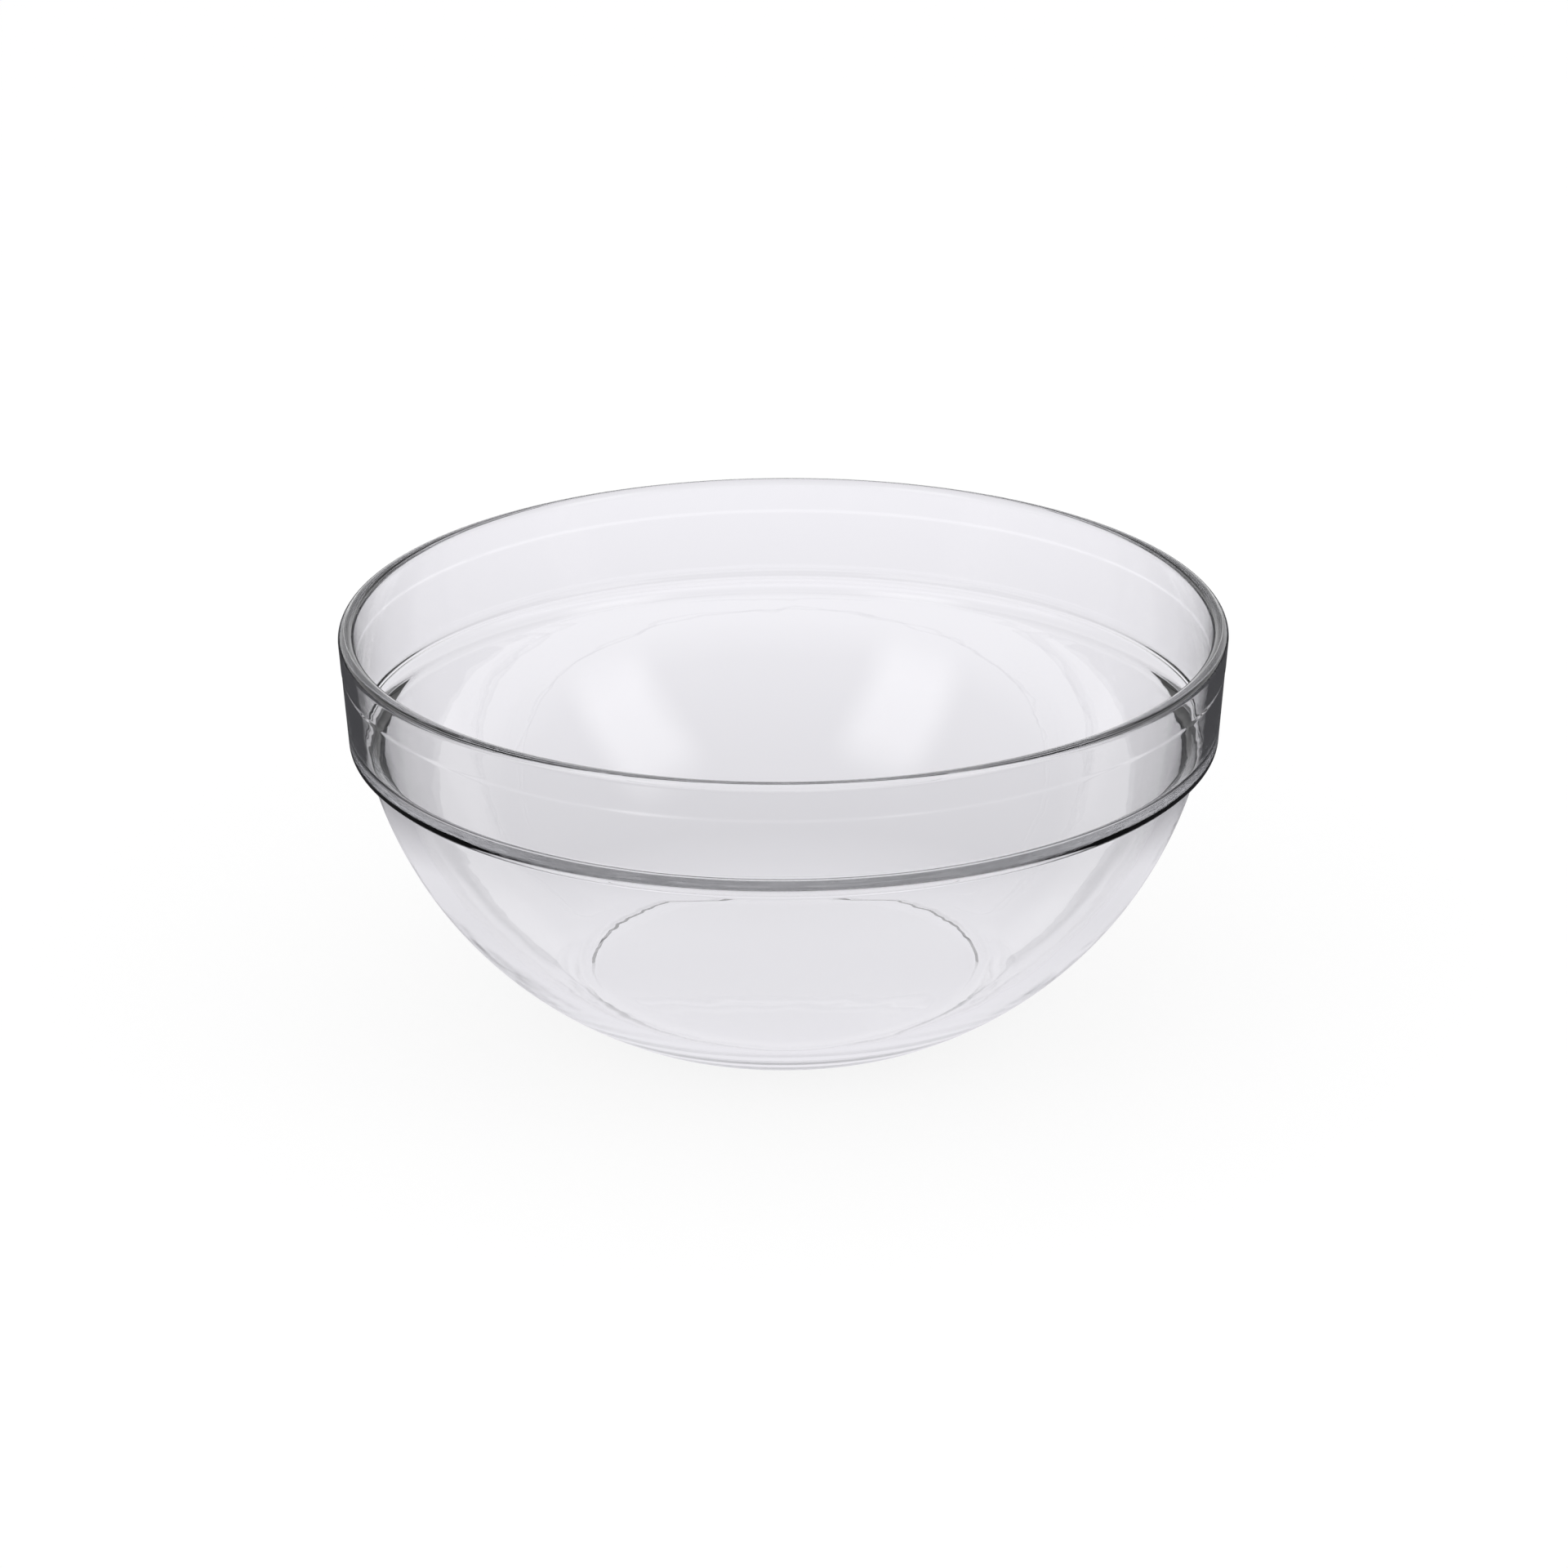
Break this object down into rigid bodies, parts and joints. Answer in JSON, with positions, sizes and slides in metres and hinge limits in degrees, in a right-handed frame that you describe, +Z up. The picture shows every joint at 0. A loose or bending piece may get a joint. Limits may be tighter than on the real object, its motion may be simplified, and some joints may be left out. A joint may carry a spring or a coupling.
{
  "type": "glass bowl",
  "caption": "Round clear pressed-glass stacking bowl: a curved body on a flat foot ring, with a wider upright collar, an inner ledge and a rounded rim.",
  "frame": {"origin": "centre of the foot ring, on the surface that the bowl stands on", "axes": "+Z up along the bowl's axis, out of its mouth; X and Y are any two directions across the round bowl"},
  "size_m": [0.23, 0.23, 0.1027],
  "materials": {
    "clear_glass": "clear, fire-polished"
  },
  "bodies": {
    "root": {"glass_bowl": "clear_glass"}
  },
  "joints": []
}
